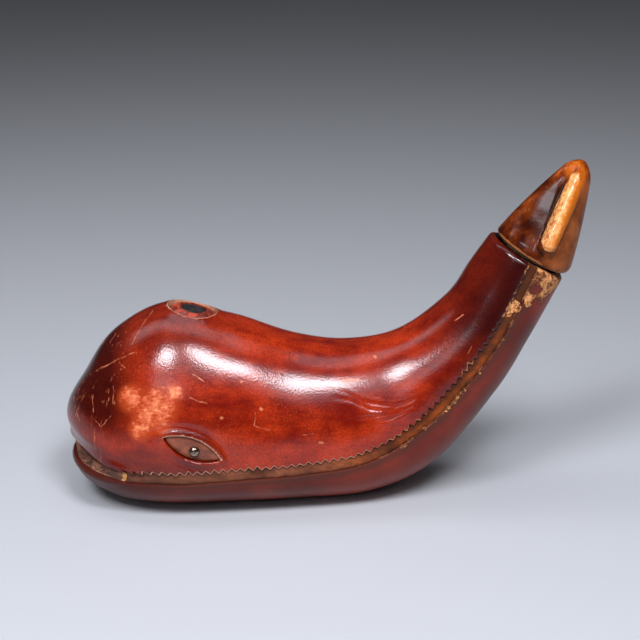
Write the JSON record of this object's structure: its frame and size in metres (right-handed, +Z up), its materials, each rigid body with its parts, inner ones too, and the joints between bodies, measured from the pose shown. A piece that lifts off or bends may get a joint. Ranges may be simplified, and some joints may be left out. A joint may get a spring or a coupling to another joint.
{
  "type": "decanter",
  "caption": "Whale-shaped glass decanter wrapped in wet-formed leather, with pinked seams, inlaid eyes, a blowhole and a cork stopper shaped as the tail fluke.",
  "frame": {"origin": "bottom centre of the overall box, on the table under the body", "axes": "+X from the head to the tail, +Y to the right of the whale, +Z up"},
  "size_m": [0.2987, 0.104, 0.1985],
  "materials": {
    "glass": "blown clear glass",
    "oxblood_leather": "glossy dyed and varnished leather with scuffs",
    "dark_leather": "smooth dark varnished leather",
    "brown_leather": "matte split leather",
    "russet_leather": "satin leather with a frayed rim",
    "black_leather": "matte black leather",
    "grey_leather": "worn grey-brown leather",
    "stud_metal": "tarnished dome nail",
    "varnished_leather": "glossy varnished leather worn to tan on the ridges",
    "turned_wood": "plain turned wood",
    "cork": "natural cork"
  },
  "bodies": {
    "body": {"glass_flask": "glass", "upper_hide": "oxblood_leather", "belly_hide": "dark_leather", "mouth_strip": "brown_leather", "blowhole_ring": "russet_leather", "blowhole_plug": "black_leather", "seam_band_left": "brown_leather", "seam_band_right": "brown_leather", "eye_inlay_left": "grey_leather", "eye_inlay_right": "grey_leather", "eye_stud_left": "stud_metal", "eye_stud_right": "stud_metal"},
    "cork": {"stopper_cork": "cork"},
    "head": {"stopper_core": "turned_wood", "stopper_cover": "varnished_leather", "stopper_washer": "dark_leather", "stopper_dowel": "turned_wood"}
  },
  "joints": [
    {"name": "stopper_pull", "type": "slide", "parent": "body", "child": "cork", "axis": [0.5, 0, 0.866], "range_m": [0, 0.036]},
    {"name": "stopper_twist", "type": "hinge", "parent": "cork", "child": "head", "pos_m": [0.116, 0, 0.1445], "axis": [0.5, 0, 0.866], "continuous": true}
  ]
}
